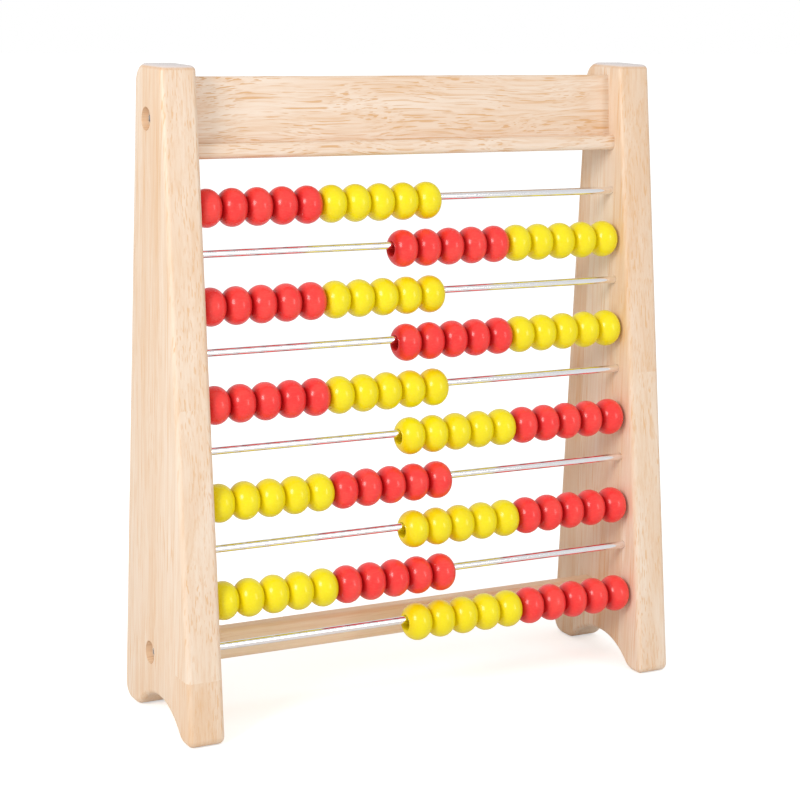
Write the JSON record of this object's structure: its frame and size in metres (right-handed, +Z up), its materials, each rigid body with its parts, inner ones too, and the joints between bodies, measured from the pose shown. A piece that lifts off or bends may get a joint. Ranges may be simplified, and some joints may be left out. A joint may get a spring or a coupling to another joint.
{
  "type": "abacus",
  "caption": "Upright wooden counting frame: red and yellow beads slide on steel rods held between two tapered side panels with arched feet and joined by rails.",
  "frame": {"origin": "on the floor, midway between the two side panels and midway between their front and back feet", "axes": "+X along the rods to the right-hand panel, -Y towards the user, +Z up"},
  "size_m": [0.2908, 0.0904, 0.3377],
  "materials": {
    "panel_wood": "satin",
    "rail_wood": "satin",
    "dowel_wood": "matte",
    "red_lacquer": "gloss",
    "yellow_lacquer": "gloss",
    "rod_steel": "polished",
    "screw_steel": "satin"
  },
  "bodies": {
    "frame": {"left_side_panel": "panel_wood", "right_side_panel": "panel_wood", "top_rail": "rail_wood", "bottom_rail": "rail_wood", "left_top_screw": "screw_steel", "right_top_screw": "screw_steel", "left_bottom_screw": "screw_steel", "right_bottom_screw": "screw_steel", "left_upper_dowel": "dowel_wood", "left_lower_dowel": "dowel_wood", "right_upper_dowel": "dowel_wood", "right_lower_dowel": "dowel_wood"},
    "rod_01": {"rod_01": "rod_steel"},
    "rod_02": {"rod_02": "rod_steel"},
    "rod_03": {"rod_03": "rod_steel"},
    "rod_04": {"rod_04": "rod_steel"},
    "rod_05": {"rod_05": "rod_steel"},
    "rod_06": {"rod_06": "rod_steel"},
    "rod_07": {"rod_07": "rod_steel"},
    "rod_08": {"rod_08": "rod_steel"},
    "rod_09": {"rod_09": "rod_steel"},
    "rod_10": {"rod_10": "rod_steel"},
    "row_01_red_beads": {"row_01_red_beads": "red_lacquer"},
    "row_01_yellow_beads": {"row_01_yellow_beads": "yellow_lacquer"},
    "row_02_yellow_beads": {"row_02_yellow_beads": "yellow_lacquer"},
    "row_02_red_beads": {"row_02_red_beads": "red_lacquer"},
    "row_03_red_beads": {"row_03_red_beads": "red_lacquer"},
    "row_03_yellow_beads": {"row_03_yellow_beads": "yellow_lacquer"},
    "row_04_yellow_beads": {"row_04_yellow_beads": "yellow_lacquer"},
    "row_04_red_beads": {"row_04_red_beads": "red_lacquer"},
    "row_05_red_beads": {"row_05_red_beads": "red_lacquer"},
    "row_05_yellow_beads": {"row_05_yellow_beads": "yellow_lacquer"},
    "row_06_red_beads": {"row_06_red_beads": "red_lacquer"},
    "row_06_yellow_beads": {"row_06_yellow_beads": "yellow_lacquer"},
    "row_07_yellow_beads": {"row_07_yellow_beads": "yellow_lacquer"},
    "row_07_red_beads": {"row_07_red_beads": "red_lacquer"},
    "row_08_red_beads": {"row_08_red_beads": "red_lacquer"},
    "row_08_yellow_beads": {"row_08_yellow_beads": "yellow_lacquer"},
    "row_09_yellow_beads": {"row_09_yellow_beads": "yellow_lacquer"},
    "row_09_red_beads": {"row_09_red_beads": "red_lacquer"},
    "row_10_red_beads": {"row_10_red_beads": "red_lacquer"},
    "row_10_yellow_beads": {"row_10_yellow_beads": "yellow_lacquer"}
  },
  "joints": [
    {"name": "rod_01_turn", "type": "hinge", "parent": "frame", "child": "rod_01", "pos_m": [0, 0.00286, 0.2678], "axis": [1, 0, 0], "continuous": true},
    {"name": "rod_02_turn", "type": "hinge", "parent": "frame", "child": "rod_02", "pos_m": [0, -0.00043, 0.2431], "axis": [1, 0, 0], "continuous": true},
    {"name": "rod_03_turn", "type": "hinge", "parent": "frame", "child": "rod_03", "pos_m": [0, -0.00373, 0.2184], "axis": [1, 0, 0], "continuous": true},
    {"name": "rod_04_turn", "type": "hinge", "parent": "frame", "child": "rod_04", "pos_m": [0, -0.00702, 0.1937], "axis": [1, 0, 0], "continuous": true},
    {"name": "rod_05_turn", "type": "hinge", "parent": "frame", "child": "rod_05", "pos_m": [0, -0.01032, 0.169], "axis": [1, 0, 0], "continuous": true},
    {"name": "rod_06_turn", "type": "hinge", "parent": "frame", "child": "rod_06", "pos_m": [0, -0.01362, 0.1443], "axis": [1, 0, 0], "continuous": true},
    {"name": "rod_07_turn", "type": "hinge", "parent": "frame", "child": "rod_07", "pos_m": [0, -0.01691, 0.1196], "axis": [1, 0, 0], "continuous": true},
    {"name": "rod_08_turn", "type": "hinge", "parent": "frame", "child": "rod_08", "pos_m": [0, -0.02021, 0.0949], "axis": [1, 0, 0], "continuous": true},
    {"name": "rod_09_turn", "type": "hinge", "parent": "frame", "child": "rod_09", "pos_m": [0, -0.0235, 0.0702], "axis": [1, 0, 0], "continuous": true},
    {"name": "rod_10_turn", "type": "hinge", "parent": "frame", "child": "rod_10", "pos_m": [0, -0.0268, 0.0455], "axis": [1, 0, 0], "continuous": true},
    {"name": "row_01_red_slide", "type": "slide", "parent": "frame", "child": "row_01_red_beads", "axis": [-1, 0, 0], "range_m": [-0.1112, 0]},
    {"name": "row_01_yellow_slide", "type": "slide", "parent": "row_01_red_beads", "child": "row_01_yellow_beads", "axis": [1, 0, 0], "range_m": [0, 0.1112]},
    {"name": "row_02_yellow_slide", "type": "slide", "parent": "frame", "child": "row_02_yellow_beads", "axis": [1, 0, 0], "range_m": [-0.1112, 0]},
    {"name": "row_02_red_slide", "type": "slide", "parent": "row_02_yellow_beads", "child": "row_02_red_beads", "axis": [-1, 0, 0], "range_m": [0, 0.1112]},
    {"name": "row_03_red_slide", "type": "slide", "parent": "frame", "child": "row_03_red_beads", "axis": [-1, 0, 0], "range_m": [-0.1112, 0]},
    {"name": "row_03_yellow_slide", "type": "slide", "parent": "row_03_red_beads", "child": "row_03_yellow_beads", "axis": [1, 0, 0], "range_m": [0, 0.1112]},
    {"name": "row_04_yellow_slide", "type": "slide", "parent": "frame", "child": "row_04_yellow_beads", "axis": [1, 0, 0], "range_m": [-0.1112, 0]},
    {"name": "row_04_red_slide", "type": "slide", "parent": "row_04_yellow_beads", "child": "row_04_red_beads", "axis": [-1, 0, 0], "range_m": [0, 0.1112]},
    {"name": "row_05_red_slide", "type": "slide", "parent": "frame", "child": "row_05_red_beads", "axis": [-1, 0, 0], "range_m": [-0.1112, 0]},
    {"name": "row_05_yellow_slide", "type": "slide", "parent": "row_05_red_beads", "child": "row_05_yellow_beads", "axis": [1, 0, 0], "range_m": [0, 0.1112]},
    {"name": "row_06_red_slide", "type": "slide", "parent": "frame", "child": "row_06_red_beads", "axis": [1, 0, 0], "range_m": [-0.1112, 0]},
    {"name": "row_06_yellow_slide", "type": "slide", "parent": "row_06_red_beads", "child": "row_06_yellow_beads", "axis": [-1, 0, 0], "range_m": [0, 0.1112]},
    {"name": "row_07_yellow_slide", "type": "slide", "parent": "frame", "child": "row_07_yellow_beads", "axis": [-1, 0, 0], "range_m": [-0.1112, 0]},
    {"name": "row_07_red_slide", "type": "slide", "parent": "row_07_yellow_beads", "child": "row_07_red_beads", "axis": [1, 0, 0], "range_m": [0, 0.1112]},
    {"name": "row_08_red_slide", "type": "slide", "parent": "frame", "child": "row_08_red_beads", "axis": [1, 0, 0], "range_m": [-0.1112, 0]},
    {"name": "row_08_yellow_slide", "type": "slide", "parent": "row_08_red_beads", "child": "row_08_yellow_beads", "axis": [-1, 0, 0], "range_m": [0, 0.1112]},
    {"name": "row_09_yellow_slide", "type": "slide", "parent": "frame", "child": "row_09_yellow_beads", "axis": [-1, 0, 0], "range_m": [-0.1112, 0]},
    {"name": "row_09_red_slide", "type": "slide", "parent": "row_09_yellow_beads", "child": "row_09_red_beads", "axis": [1, 0, 0], "range_m": [0, 0.1112]},
    {"name": "row_10_red_slide", "type": "slide", "parent": "frame", "child": "row_10_red_beads", "axis": [1, 0, 0], "range_m": [-0.1112, 0]},
    {"name": "row_10_yellow_slide", "type": "slide", "parent": "row_10_red_beads", "child": "row_10_yellow_beads", "axis": [-1, 0, 0], "range_m": [0, 0.1112]}
  ]
}
